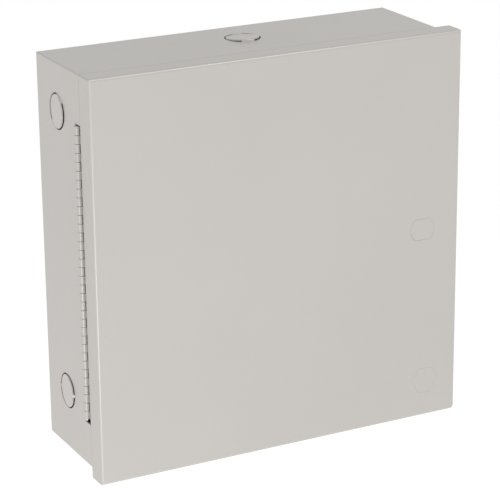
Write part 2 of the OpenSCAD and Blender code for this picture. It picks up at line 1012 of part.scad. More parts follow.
module neutral_lug_screw() {
    face = neutral_back - tongue;
    color(tin)
        difference() {
            rod_y(-bar_x, face - neutral_lug_d - 3, face - neutral_lug_d + 7,
                neutral_lug_mid, lug_screw_r);
            translate([-bar_x, face - neutral_lug_d + 1, neutral_lug_mid])
                rotate([90, 0, 0])
                    cylinder(h = 5, r = hex_key_r, $fn = 6);
        }
}

module ground_bar() {
    color(tin) {
        terminal_bar(bar_x, ground_front, ground_back, ground_low, ground_high);
        for (z = [ground_low, ground_high - 5])
            block(bar_x - bar_half, bar_x + bar_half, ground_back - eps, -sheet, z,
                z + 5);
        difference() {
            block(bar_x - bar_half, bar_x + bar_half, -sheet - 2, -sheet,
                ground_low - fixing_tab, ground_high + fixing_tab);
            block(bar_x - bar_half - 1, bar_x + bar_half + 1, -sheet - 3, 0,
                ground_low + eps, ground_high - eps);
            for (z = ground_fixing_z)
                rod_y(bar_x, -sheet - 3, 0, z, fixing_r);
        }
    }
}

module ground_fixings() {
    color(zinc)
        for (z = ground_fixing_z)
            pan_screw(bar_x, -sheet - 2, z, sheet + 1.9, fixing_r, 3.6, 2.2);
}

module ground_screws() {
    color([0.20, 0.45, 0.25])
        terminal_screws(bar_x, ground_front, ground_low, ground_high);
}

// Strap from the tail of the neutral bar down to the back of the enclosure
module bonding_strap() {
    x0 = -bar_x - strap_half;
    x1 = -bar_x + strap_half;
    knee = strap_low - strap_t;
    color(copper) {
        difference() {
            block(x0, x1, neutral_back, neutral_back + strap_t, knee, neutral_low);
            rod_y(-bar_x, neutral_back - 1, neutral_back + strap_t + 1,
                neutral_low - tail_mid, fixing_r);
        }
        block(x0, x1, neutral_back + strap_t - eps, -sheet, knee, strap_low);
        difference() {
            block(x0, x1, -sheet - strap_t, -sheet, strap_low - 14, knee + eps);
            rod_y(-bar_x, -sheet - strap_t - 1, 0, bond_z, fixing_r);
        }
    }
}

module bonding_screws() {
    color([0.20, 0.45, 0.25]) {
        pan_screw(-bar_x, neutral_back - tongue, neutral_low - tail_mid, tongue + 4,
            fixing_r, 4, 2.4);
        pan_screw(-bar_x, -sheet - strap_t, bond_z, sheet + strap_t - 0.1, fixing_r, 4,
            2.4);
    }
}

enclosure();
knockout_slugs();
hinge_body_leaf();
hinge_pin();
door();
hinge_door_leaf();
lock_knockout_slug();
circuit_directory();
catch_housing();
catch_magnet();
catch_screws();
dead_front();
dead_front_screws();
space_filler();
interior_base();
interior_screws();
mounting_rail_left();
mounting_rail_right();
rail_screws();
bus_bar_a();
bus_bar_b();
bus_bolts();
main_case();
main_handle();
main_line_lugs();
main_lug_screws();
breaker_1_case();
breaker_1_handle();
breaker_3_case();
breaker_3_handle();
breaker_5_case();
breaker_5_handle();
breaker_7_case();
breaker_7_handle();
breaker_2_4_case();
breaker_2_4_handle();
breaker_6_case();
breaker_6_handle();
branch_line_jaws();
branch_clamps();
branch_clamp_screws();
neutral_bar();
neutral_standoffs();
neutral_screws();
neutral_lug();
neutral_lug_screw();
ground_bar();
ground_screws();
bonding_strap();
ground_fixings();
bonding_screws();
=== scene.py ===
import json
import math

import bmesh
import bpy
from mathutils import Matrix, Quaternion, Vector


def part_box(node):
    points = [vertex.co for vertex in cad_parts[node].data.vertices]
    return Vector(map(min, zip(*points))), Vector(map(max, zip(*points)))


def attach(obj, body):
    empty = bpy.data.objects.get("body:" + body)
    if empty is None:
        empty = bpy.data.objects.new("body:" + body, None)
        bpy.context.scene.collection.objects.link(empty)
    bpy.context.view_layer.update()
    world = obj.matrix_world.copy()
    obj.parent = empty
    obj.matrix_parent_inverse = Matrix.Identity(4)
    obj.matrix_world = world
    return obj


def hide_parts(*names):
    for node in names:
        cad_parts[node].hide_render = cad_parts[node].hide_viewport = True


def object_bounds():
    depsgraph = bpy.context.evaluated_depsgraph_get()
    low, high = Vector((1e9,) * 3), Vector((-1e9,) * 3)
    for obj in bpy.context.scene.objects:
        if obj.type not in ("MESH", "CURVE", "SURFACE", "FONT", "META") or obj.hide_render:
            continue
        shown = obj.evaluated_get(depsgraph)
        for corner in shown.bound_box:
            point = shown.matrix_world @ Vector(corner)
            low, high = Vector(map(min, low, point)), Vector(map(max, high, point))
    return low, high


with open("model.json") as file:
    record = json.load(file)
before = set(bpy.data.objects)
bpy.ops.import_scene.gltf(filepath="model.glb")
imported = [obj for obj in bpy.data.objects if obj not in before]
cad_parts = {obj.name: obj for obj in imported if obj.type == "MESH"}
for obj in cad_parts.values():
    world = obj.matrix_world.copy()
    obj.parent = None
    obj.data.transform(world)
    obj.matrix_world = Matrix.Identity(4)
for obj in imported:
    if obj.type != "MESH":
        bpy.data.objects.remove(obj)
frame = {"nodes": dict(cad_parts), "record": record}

CAD_BOX = [list(corner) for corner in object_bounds()]
MM = 0.001


# ---------- camera, light and floor ----------

LENS = 159.0
CAMERA_AZ, CAMERA_EL = -27.26, 18.93
CAMERA_ROLL = math.radians(-0.57)
CAMERA_DISTANCE = 1.7054
CAMERA_SIDE, CAMERA_DROP = 0.00232, 0.01224
LOOK_AT = Vector((0.0, -0.050, 0.0))
# name, azimuth, elevation, distance, size, power
LAMPS = (
    ("key", -15.0, 24.0, 2.4, 0.9, 6.7),
    ("low_left", -40.0, -19.0, 1.3, 0.4, 3.4),
    ("top_right", 43.0, 55.5, 2.1, 0.55, 7.7),
)
WORLD_STRENGTH = 0.725
FLOOR_GLOW = 0.30
FLOOR_DROP = 0.60
FLOOR_HALF = 30.0


def aim(az, el):
    """The unit vector from what the camera looks at to the camera."""
    a = math.radians(az)
    e = math.radians(el)
    return Vector((math.sin(a) * math.cos(e), -math.cos(a) * math.cos(e), math.sin(e)))


def make_camera():
    back = aim(CAMERA_AZ, CAMERA_EL)
    data = bpy.data.cameras.new("camera")
    data.lens = LENS
    data.sensor_width = 36.0
    data.clip_start = 0.05
    cam = bpy.data.objects.new("camera", data)
    bpy.context.collection.objects.link(cam)
    turn = (-back).to_track_quat("-Z", "Y")
    right = turn @ Vector((math.cos(CAMERA_ROLL), math.sin(CAMERA_ROLL), 0.0))
    up = turn @ Vector((-math.sin(CAMERA_ROLL), math.cos(CAMERA_ROLL), 0.0))
    cam.location = LOOK_AT + back * CAMERA_DISTANCE + right * CAMERA_SIDE - up * CAMERA_DROP
    cam.rotation_mode = "QUATERNION"
    cam.rotation_quaternion = Quaternion(back, CAMERA_ROLL) @ turn
    bpy.context.scene.camera = cam


def area_light(name, az, el, distance, size, power):
    data = bpy.data.lights.new(name, "AREA")
    data.shape = "DISK"
    data.size = size
    data.energy = power
    lamp = bpy.data.objects.new(name, data)
    bpy.context.collection.objects.link(lamp)
    lamp.visible_camera = False
    back = aim(az, el)
    lamp.location = back * distance
    lamp.rotation_mode = "QUATERNION"
    lamp.rotation_quaternion = (-back).to_track_quat("-Z", "Y")


def make_world(strength):
    world = bpy.data.worlds.new("studio")
    bpy.context.scene.world = world
    world.use_nodes = True
    ground = world.node_tree.nodes["Background"]
    ground.inputs["Color"].default_value = (1.0, 1.0, 1.0, 1.0)
    ground.inputs["Strength"].default_value = strength


def make_floor(glow):
    """A wide sheet of matt white acrylic, lit a little from beneath."""
    mesh = bpy.data.meshes.new("floor")
    bm = bmesh.new()
    bmesh.ops.create_grid(bm, x_segments=4, y_segments=4, size=FLOOR_HALF)
    bm.to_mesh(mesh)
    bm.free()
    floor = bpy.data.objects.new("floor", mesh)
    bpy.context.collection.objects.link(floor)
    floor.location.z = CAD_BOX[0][2] - FLOOR_DROP
    mat = bpy.data.materials.new("floor_paper")
    mat.use_nodes = True
    shader = mat.node_tree.nodes["Principled BSDF"]
    shader.inputs["Base Color"].default_value = (0.95, 0.95, 0.95, 1.0)
    shader.inputs["Roughness"].default_value = 0.9
    shader.inputs["Specular IOR Level"].default_value = 0.1
    shader.inputs["Emission Color"].default_value = (1.0, 1.0, 1.0, 1.0)
    shader.inputs["Emission Strength"].default_value = glow
    mesh.materials.append(mat)


# ---------- materials ----------

class Nodes:
    """A small helper that adds nodes to a material and joins them."""

    def __init__(self, name, roughness, metallic=0.0, specular=0.5):
        self.mat = bpy.data.materials.new(name)
        self.mat.use_nodes = True
        self.tree = self.mat.node_tree
        self.shader = self.tree.nodes["Principled BSDF"]
        self.shader.inputs["Metallic"].default_value = metallic
        self.shader.inputs["Roughness"].default_value = roughness
        self.shader.inputs["Specular IOR Level"].default_value = specular
        self.place = self.add("ShaderNodeTexCoord").outputs["Object"]

    def add(self, kind, **values):
        node = self.tree.nodes.new(kind)
        for key, value in values.items():
            if key in node.inputs:
                node.inputs[key].default_value = value
            else:
                setattr(node, key, value)
        return node

    def join(self, out, into):
        self.tree.links.new(out, into)

    def noise(self, scale, detail=2.0, rough=0.5, stretch=None):
        node = self.add("ShaderNodeTexNoise", Scale=scale, Detail=detail, Roughness=rough)
        place = self.place
        if stretch:
            mapping = self.add("ShaderNodeMapping")
            mapping.inputs["Scale"].default_value = stretch
            self.join(place, mapping.inputs["Vector"])
            place = mapping.outputs["Vector"]
        self.join(place, node.inputs["Vector"])
        return node.outputs["Fac"]

    def ramp(self, fac, low, high, start=0.3, end=0.7):
        node = self.add("ShaderNodeValToRGB")
        ends = node.color_ramp.elements
        ends[0].position = start
        ends[1].position = end
        ends[0].color = (*low, 1.0)
        ends[1].color = (*high, 1.0)
        self.join(fac, node.inputs["Fac"])
        return node.outputs["Color"]

    def span(self, fac, low, high):
        node = self.add("ShaderNodeMapRange")
        node.inputs["To Min"].default_value = low
        node.inputs["To Max"].default_value = high
        self.join(fac, node.inputs["Value"])
        return node.outputs["Result"]

    def bump(self, height, strength, distance):
        node = self.add("ShaderNodeBump", Strength=strength, Distance=distance)
        self.join(height, node.inputs["Height"])
        last = self.shader.inputs["Normal"]
        if last.is_linked:
            self.join(last.links[0].from_socket, node.inputs["Normal"])
        self.join(node.outputs["Normal"], last)

    def colour(self, out):
        self.join(out, self.shader.inputs["Base Color"])

    def rough(self, out):
        self.join(out, self.shader.inputs["Roughness"])


def shade(colour, factor):
    return tuple(min(1.0, channel * factor) for channel in colour)


def painted_steel():
    """Baked enamel: fine orange peel, faint cloudiness in the colour and the gloss."""
    base = (0.446, 0.424, 0.398)
    made = Nodes("painted_steel", 0.29, specular=0.8)
    made.colour(made.ramp(made.noise(7.0, 4.0), shade(base, 0.985), shade(base, 1.015)))
    made.rough(made.span(made.noise(26.0, 3.0), 0.26, 0.32))
    made.bump(made.noise(900.0, 2.0, 0.55), 0.10, 0.0002)
    made.bump(made.noise(2600.0, 1.0), 0.05, 0.0001)
    return made.mat


def zinc_steel():
    """Bright zinc plate with the sheet's rolling grain and a slight mottle."""
    base = (0.50, 0.51, 0.53)
    made = Nodes("zinc_steel", 0.35, metallic=1.0)
    made.colour(made.ramp(made.noise(160.0, 5.0, 0.6), shade(base, 0.82), shade(base, 1.1)))
    made.rough(made.span(made.noise(90.0, 3.0, 0.5, (1.0, 1.0, 14.0)), 0.28, 0.46))
    made.bump(made.noise(700.0, 2.0, 0.5, (1.0, 1.0, 10.0)), 0.12, 0.0001)
    return made.mat


def tin_plate():
    base = (0.60, 0.61, 0.63)
    made = Nodes("tin_plate", 0.4, metallic=1.0)
    made.colour(made.ramp(made.noise(220.0, 4.0, 0.6), shade(base, 0.86), shade(base, 1.08)))
    made.rough(made.span(made.noise(140.0, 3.0), 0.30, 0.50))
    made.bump(made.noise(1500.0, 2.0), 0.10, 0.0001)
    return made.mat


def copper():
    base = (0.56, 0.27, 0.16)
    made = Nodes("copper", 0.35, metallic=1.0)
    made.colour(made.ramp(made.noise(60.0, 5.0, 0.6), shade(base, 0.75), shade(base, 1.15)))
    made.rough(made.span(made.noise(45.0, 4.0), 0.25, 0.45))
    made.bump(made.noise(900.0, 2.0, 0.5, (12.0, 12.0, 1.0)), 0.10, 0.0001)
    return made.mat


def moulded(name, base, rough_low, rough_high):
    """Moulded thermoset: spark-eroded grain and faint flow marks."""
    made = Nodes(name, rough_low, specular=0.45)
    made.colour(made.ramp(made.noise(40.0, 4.0), shade(base, 0.88), shade(base, 1.14)))
    made.rough(made.span(made.noise(120.0, 3.0), rough_low, rough_high))
    made.bump(made.noise(2400.0, 2.0, 0.6), 0.22, 0.0001)
    return made.mat


def green_screws():
    base = (0.06, 0.24, 0.09)
    made = Nodes("green_screws", 0.3, metallic=0.75)
    made.colour(made.ramp(made.noise(300.0, 3.0), shade(base, 0.8), shade(base, 1.25)))
    made.rough(made.span(made.noise(200.0, 2.0), 0.25, 0.42))
    made.bump(made.noise(1800.0, 2.0), 0.08, 0.0001)
    return made.mat


def magnet():
    base = (0.07, 0.07, 0.075)
    made = Nodes("magnet", 0.5, metallic=0.4)
    made.colour(made.ramp(made.noise(250.0, 4.0, 0.6), shade(base, 0.75), shade(base, 1.3)))
    made.rough(made.span(made.noise(150.0, 3.0), 0.4, 0.6))
    made.bump(made.noise(1400.0, 3.0), 0.25, 0.0002)
    return made.mat


def label_stock():
    """Card with blank ruled rows: lines across, three dividers down and a plain head band."""
    pitch = 7.5 * MM
    line = 0.045
    foot = 4 * MM
    head = 15 * MM
    margin = 4 * MM
    divider = 0.2 * MM
    column = 14 * MM
    band_foot, band_top, band_margin = 12 * MM, 6 * MM, 5 * MM
    low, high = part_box("circuit_directory")
    base = (0.78, 0.77, 0.72)
    made = Nodes("label_stock", 0.6, specular=0.3)
    paper = made.ramp(made.noise(30.0, 3.0), shade(base, 0.98), shade(base, 1.01))
    parts = made.add("ShaderNodeSeparateXYZ")
    made.join(made.place, parts.inputs["Vector"])

    def step(kind, value, other):
        node = made.add("ShaderNodeMath", operation=kind)
        made.join(value, node.inputs[0])
        if isinstance(other, float):
            node.inputs[1].default_value = other
        else:
            made.join(other, node.inputs[1])
        return node.outputs["Value"]

    def band(axis, start, end):
        over = step("GREATER_THAN", parts.outputs[axis], start)
        return step("MULTIPLY", over, step("LESS_THAN", parts.outputs[axis], end))

    shifted = step("SUBTRACT", parts.outputs["Z"], low.z + foot)
    share = step("FRACT", step("DIVIDE", shifted, pitch), 0.0)
    rows = step("LESS_THAN", share, line)
    ink = step("MULTIPLY", rows, band("Z", low.z + foot - 0.5 * MM, high.z - head))
    middle = (low.x + high.x) / 2
    for x in (low.x + column, middle, middle + column):
        down = step("MULTIPLY", band("X", x - divider, x + divider),
                    band("Z", low.z + foot, high.z - head))
        ink = step("MAXIMUM", ink, down)
    title = step("MULTIPLY", band("Z", high.z - band_foot, high.z - band_top),
                 band("X", low.x + band_margin, high.x - band_margin))
    ink = step("MAXIMUM", ink, title)
    ink = step("MULTIPLY", ink, band("X", low.x + margin, high.x - margin))
    mix = made.add("ShaderNodeMix", data_type="RGBA")
    made.join(ink, mix.inputs["Factor"])
    made.join(paper, mix.inputs[6])
    mix.inputs[7].default_value = (0.16, 0.17, 0.19, 1.0)
    made.colour(mix.outputs[2])
    made.rough(made.span(made.noise(400.0, 2.0), 0.55, 0.68))
    made.bump(made.noise(1200.0, 3.0), 0.08, 0.0001)
    return made.mat


def material_by_slot():
    return {
        "painted_steel": painted_steel(),
        "zinc_steel": zinc_steel(),
        "tin_plate": tin_plate(),
        "copper": copper(),
        "moulded_black": moulded("moulded_black", (0.020, 0.020, 0.022), 0.38, 0.52),
        "moulded_grey": moulded("moulded_grey", (0.055, 0.056, 0.060), 0.45, 0.60),
        "green_screws": green_screws(),
        "magnet": magnet(),
        "label_stock": label_stock(),
    }


# ---------- mesh helpers ----------

BODY_OF = {node: body for body, nodes in frame["record"]["behaviour"]["bodies"].items()
           for node in nodes}
SLOT_OF = {part["node"]: part["material_slot"] for part in frame["record"]["subparts"]}
JOINT_AT = {joint["name"]: Vector(joint["pos_m"])
            for joint in frame["record"]["behaviour"]["joints"]}
FLAT_ANGLE = math.radians(0.4)


def face_outward(bm):
    bmesh.ops.recalc_face_normals(bm, faces=bm.faces)


def weld(bm, reach):
    """Joins a mesh's split corners and makes its flats whole."""
    bmesh.ops.remove_doubles(bm, verts=bm.verts, dist=reach)
    bmesh.ops.dissolve_limit(bm, angle_limit=FLAT_ANGLE, verts=bm.verts, edges=bm.edges)
    return bm


def welded_copy(node):
    bm = bmesh.new()
    bm.from_mesh(frame["nodes"][node].data)
    return weld(bm, 1e-6)


def link_mesh(name, bm):
    mesh = bpy.data.meshes.new(name)
    bm.to_mesh(mesh)
    bm.free()
    obj = bpy.data.objects.new(name, mesh)
    bpy.context.collection.objects.link(obj)
    return obj


def add_piece(name, bm, node, edge=0.25 * MM, steps=2, limit=28.0):
    """Makes a shown piece that stands for a CAD node, its sharp edges rounded over."""
    face_outward(bm)
    for face in bm.faces:
        face.smooth = True
    piece = link_mesh(name, bm)
    piece.data.materials.append(MATS[SLOT_OF[node]])
    if edge:
        bevel = piece.modifiers.new("edges", "BEVEL")
        bevel.width = edge
        bevel.segments = steps
        bevel.limit_method = "ANGLE"
        bevel.angle_limit = math.radians(limit)
        bevel.use_clamp_overlap = True
        bevel.miter_outer = "MITER_ARC"
    shading = piece.modifiers.new("shading", "WEIGHTED_NORMAL")
    shading.keep_sharp = True
    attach(piece, BODY_OF[node])
    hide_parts(node)


# ---------- boolean and lathe helpers ----------

def combined(bm, tool, operation):
    """The result of a boolean between two closed meshes, as a new bmesh."""
    body = link_mesh("boolean_body", bm)
    cutter = link_mesh("boolean_tool", tool)
    step = body.modifiers.new("boolean", "BOOLEAN")
    step.operation = operation
    step.solver = "EXACT"
    step.object = cutter
    graph = bpy.context.evaluated_depsgraph_get()
    made = bmesh.new()
    made.from_mesh(body.evaluated_get(graph).data)
    for obj in (body, cutter):
        mesh = obj.data
        bpy.data.objects.remove(obj)
        bpy.data.meshes.remove(mesh)
    return weld(made, 1e-7)


def add_box(bm, low, high):
    """A closed box between two corners."""
    made = bmesh.ops.create_cube(bm, size=1.0)
    for vert in made["verts"]:
        for i in range(3):
            vert.co[i] = high[i] if vert.co[i] > 0 else low[i]
    return made["verts"]


def add_rings(bm, rings, close_ends=True):
    """Skins a list of point rings of one length; a ring of one point closes to a tip."""
    skins = [[bm.verts.new(p) for p in ring] for ring in rings]
    for near, far in zip(skins, skins[1:]):
        count = max(len(near), len(far))
        for k in range(count):
            after = (k + 1) % count
            if len(near) == 1:
                bm.faces.new((near[0], far[after], far[k]))
            elif len(far) == 1:
                bm.faces.new((near[k], near[after], far[0]))
            else:
                bm.faces.new((near[k], near[after], far[after], far[k]))
    if close_ends:
        for ring in (skins[0], skins[-1]):
            if len(ring) > 2:
                bm.faces.new(ring)
    return skins


def add_lathe(bm, origin, axis, profile, count=64):
    """Turns (radius, height) points about an axis; a radius of nought makes a tip."""
    axis = Vector(axis).normalized()
    side = axis.orthogonal().normalized()
    other = axis.cross(side)
    origin = Vector(origin)
    rings = []
    for radius, height in profile:
        middle = origin + axis * height
        if radius == 0:
            rings.append([middle])
            continue
        rings.append([middle + radius * (side * math.cos(a) + other * math.sin(a))
                      for a in (math.tau * k / count for k in range(count))])
    return add_rings(bm, rings)


def fill_flat(bm, loops):
    """Fills the flat region bounded by closed loops of vertices."""
    edges = []
    for loop in loops:
        for v, w in zip(loop, loop[1:] + loop[:1]):
            edges.append(bm.edges.get((v, w)) or bm.edges.new((v, w)))
    bmesh.ops.triangle_fill(bm, use_beauty=True, use_dissolve=False, edges=edges)


def solids_of(node):
    """The separate solids of a CAD node, each as (low corner, high corner, tip radius)."""
    bm = welded_copy(node)
    left = set(bm.verts)
    found = []
    while left:
        stack = [left.pop()]
        group = list(stack)
        while stack:
            for edge in stack.pop().link_edges:
                for vert in edge.verts:
                    if vert in left:
                        left.remove(vert)
                        stack.append(vert)
                        group.append(vert)
        low = Vector([min(v.co[i] for v in group) for i in range(3)])
        high = Vector([max(v.co[i] for v in group) for i in range(3)])
        tip = [v.co for v in group if v.co.y > high.y - 1e-6]
        radius = max(p.x for p in tip) - min(p.x for p in tip)
        found.append((low, high, radius / 2))
    bm.free()
    return sorted(found, key=lambda box: (box[0].z, box[0].x))


# ---------- plates with rounded outlines ----------

LEAST_RADIUS = 0.04 * MM


def rounded_loop(low, high, radii, inset=0.0, steps=8):
    """A rounded rectangle in the XZ plane, anticlockwise from its low left corner."""
    corners = ((low[0], low[1], 180.0), (high[0], low[1], 270.0),
               (high[0], high[1], 0.0), (low[0], high[1], 90.0))
    loop = []
    for (x, z, start), radius in zip(corners, radii):
        r = max(radius - inset, LEAST_RADIUS)
        middle_x = x + (inset + r) * (1 if x == low[0] else -1)
        middle_z = z + (inset + r) * (1 if z == low[1] else -1)
        for k in range(steps + 1):
            a = math.radians(start + 90.0 * k / steps)
            loop.append((middle_x + r * math.cos(a), middle_z + r * math.sin(a)))
    return loop


def polygon_loop(centre, apothem, sides, corner, steps=6):
    """A regular polygon with rounded corners in the XZ plane."""
    loop = []
    reach = (apothem - corner) / math.cos(math.pi / sides)
    for i in range(sides):
        middle = math.tau * i / sides
        for k in range(steps + 1):
            a = middle + (k / steps - 0.5) * math.tau / sides
            loop.append((centre[0] + reach * math.cos(middle) + corner * math.cos(a),
                         centre[1] + reach * math.sin(middle) + corner * math.sin(a)))
    return loop


def flatted_loop(centre, radius, flat, steps=20):
    """A circle with a flat above and below, as a lock's knockout has."""
    half = math.asin(min(1.0, flat / radius))
    return [(centre[0] + radius * math.cos(a), centre[1] + radius * math.sin(a))
            for start in (-half, math.pi - half)
            for a in (start + 2 * half * k / steps for k in range(steps + 1))]


PUNCH_ROLL = 0.10 * MM


def at_depth(loop, y):
    return [(x, y, z) for x, z in loop]


def bead_heights(width, height, steps=10):
    """(offset, height) of a soft pressed bead, from its outer foot to its inner one."""
    made = []
    for k in range(steps + 1):
        share = k / steps
        made.append(((0.5 - share) * width, height * math.sin(math.pi * share) ** 1.5))
    return made


def pressed_sheet(bm, rim_front, rim_back, y_front, y_back, holes=(), beads=()):
    """Fills both skins of a sheet inside its rims, with punched holes and pressed beads.

    A hole is a function that gives its loop at an offset, and a bead is such a function
    with its width and height; the back skin follows the front one."""
    roll = PUNCH_ROLL
    front_loops = [rim_front]
    back_loops = [rim_back]
    for hole in holes:
        skins = add_rings(bm, [at_depth(hole(roll), y_front),
                               at_depth(hole(roll * 0.3), y_front + roll * 0.3),
                               at_depth(hole(0.0), y_front + roll),
                               at_depth(hole(0.0), y_back)], close_ends=False)
        front_loops.append(skins[0])
        back_loops.append(skins[-1])
    for bead, width, height in beads:
        for loops, y in ((front_loops, y_front), (back_loops, y_back)):
            skins = add_rings(bm, [at_depth(bead(offset), y - rise)
                                   for offset, rise in bead_heights(width, height)],
                              close_ends=False)
            loops.append(skins[0])
            loops.append(skins[-1])
    return front_loops, back_loops


# ---------- the door ----------

DOOR_SHEET = 1.2 * MM
DOOR_BEND = 2.8 * MM
LOCK_R = 10.65 * MM
LOCK_FLAT = 8.65 * MM
MARK_APOTHEM = 10.3 * MM
MARK_CORNER = 2.2 * MM
MARK_W = 2.2 * MM
MARK_H = 0.35 * MM
MARK_FROM_RIGHT = 29 * MM
MARK_FROM_BOTTOM = 29.7 * MM
# from the low left corner, anticlockwise
DOOR_CORNERS = (1.2 * MM, 3.0 * MM, 1.6 * MM, 1.2 * MM)
BEND_STEPS = 6


def door_panel():
    """The pressed tray: one sheet, bent on four sides, its corners welded and ground."""
    low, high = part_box("door")
    lock_low, lock_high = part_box("lock_knockout_slug")
    front = low.y + MARK_H
    back = high.y
    t = DOOR_SHEET
    profile = []
    for k in range(BEND_STEPS + 1):
        a = math.pi / 2 * k / BEND_STEPS
        profile.append((DOOR_BEND * (1 - math.sin(a)), front + DOOR_BEND * (1 - math.cos(a))))
    profile += [(0.0, back), (t, back)]
    inner = DOOR_BEND - t
    for k in range(BEND_STEPS, -1, -1):
        a = math.pi / 2 * k / BEND_STEPS
        profile.append((DOOR_BEND - inner * math.sin(a), front + t + inner * (1 - math.cos(a))))
    bm = bmesh.new()
    corners = (low.x, low.z), (high.x, high.z)
    skins = add_rings(bm, [at_depth(rounded_loop(*corners, DOOR_CORNERS, inset), y)
                           for inset, y in profile], close_ends=False)
    lock = ((lock_low.x + lock_high.x) / 2, (lock_low.z + lock_high.z) / 2)
    mark = (high.x - MARK_FROM_RIGHT, low.z + MARK_FROM_BOTTOM)

    def lock_hole(offset):
        return flatted_loop(lock, LOCK_R + offset, LOCK_FLAT + offset)

    def mark_bead(offset):
        return polygon_loop(mark, MARK_APOTHEM + offset, 6, MARK_CORNER + offset)

    fronts, backs = pressed_sheet(bm, skins[0], skins[-1], front, front + t,
                                  (lock_hole,), ((mark_bead, MARK_W, MARK_H),))
    for loops in (fronts, backs):
        fill_flat(bm, loops[:3])
        fill_flat(bm, loops[3:])
    add_piece("door_panel", bm, "door", 0.1 * MM)


# ---------- knockout slugs ----------

SLUG_GAP = 1.0 * MM
SLUG_DROP = 2.1 * MM
SLUG_T = 1.2 * MM
TAB_W = 2.6 * MM
WIDE_TAB_W = 10.0 * MM
TAB_T = 0.7 * MM
TAB_DEPTH = 0.3 * MM
TAB_TURN = {"upper": math.radians(-60), "top": math.radians(-9)}
# how far past the disc's rim, and the share of the way down to the wall
TAB_PATH = ((-1.0 * MM, 0.0), (-0.15 * MM, 0.0), (0.15 * MM, 0.28), (0.45 * MM, 0.68),
            (0.6 * MM, 0.92), (0.75 * MM, 1.0))


def slug_profile(radius, proud):
    """The punched disc: rolled over at its outer rim, burred at its inner one."""
    low = proud - SLUG_T
    return ((0.0, proud - 0.10 * MM), (radius * 0.55, proud - 0.07 * MM),
            (radius - 1.6 * MM, proud), (radius - 0.40 * MM, proud - 0.01 * MM),
            (radius - 0.16 * MM, proud - 0.06 * MM), (radius - 0.04 * MM, proud - 0.18 * MM),
            (radius, proud - 0.36 * MM), (radius, low + 0.06 * MM),
            (radius - 0.06 * MM, low), (0.0, low))


def knockout_slugs():
    """The discs lean: they stand proud at the front and lie just below the wall at the back."""
    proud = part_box("enclosure")[0].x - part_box("knockout_slugs")[0].x
    front = Vector((0, -1, 0))
    bm = bmesh.new()
    tabs = bmesh.new()
    for mount in frame["record"]["mounts"]:
        if not mount["name"].startswith("knockout"):
            continue
        middle = Vector(mount["pos_m"])
        out = Vector(mount["axis"])
        radius = mount["dims"]["r_mm"] * MM - SLUG_GAP
        lean = SLUG_DROP / (2 * radius)
        rise = proud - SLUG_DROP / 2
        add_lathe(bm, middle, (out - front * lean).normalized(), slug_profile(radius, rise), 96)
        kind = mount["name"].split("_")[-1]
        turn = TAB_TURN.get(kind, 0.0)
        half = (WIDE_TAB_W if kind in TAB_TURN else TAB_W) / 2
        up = Vector((0, 0, 1)) if abs(out.z) < 0.5 else Vector((-1, 0, 0))
        forward = front * math.cos(turn) - up * math.sin(turn)
        for way in (forward, -forward):
            across = out.cross(way).normalized()
            start = rise + radius * lean * way.dot(front) - SLUG_T / 2
            fall = start + TAB_DEPTH
            half_w = across * half
            half_t = out * TAB_T / 2
            rings = []
            for reach, share in TAB_PATH:
                foot = middle + way * (radius + reach) + out * (start - share * fall)
                rings.append([foot - half_w - half_t, foot + half_w - half_t,
                              foot + half_w + half_t, foot - half_w + half_t])
            add_rings(tabs, rings)
    face_outward(bm)
    face_outward(tabs)
    add_piece("lanced_slugs", combined(bm, tabs, "UNION"), "knockout_slugs", 0.0)


# ---------- continuous hinge ----------

LEAF_T = 1.1 * MM
BARREL_R = 2.3 * MM
KNUCKLES = 34
KNUCKLE_GAP = 0.3 * MM
CURL = math.radians(322)
CURL_STEPS = 22


def curl_point(centre, way, straight, along, offset):
    """A point of a hinge leaf: a flat run towards the pin, then a curl around it.

    along is measured from the leaf's free edge and offset from the skin that faces the
    middle of the box, positive towards the wall; way is the side of the pin it comes from."""
    r = BARREL_R - offset
    if along <= straight:
        return (centre[0] + r, centre[1] + way * (straight - along))
    a = (along - straight) / BARREL_R
    return (centre[0] + r * math.cos(a), centre[1] - way * r * math.sin(a))


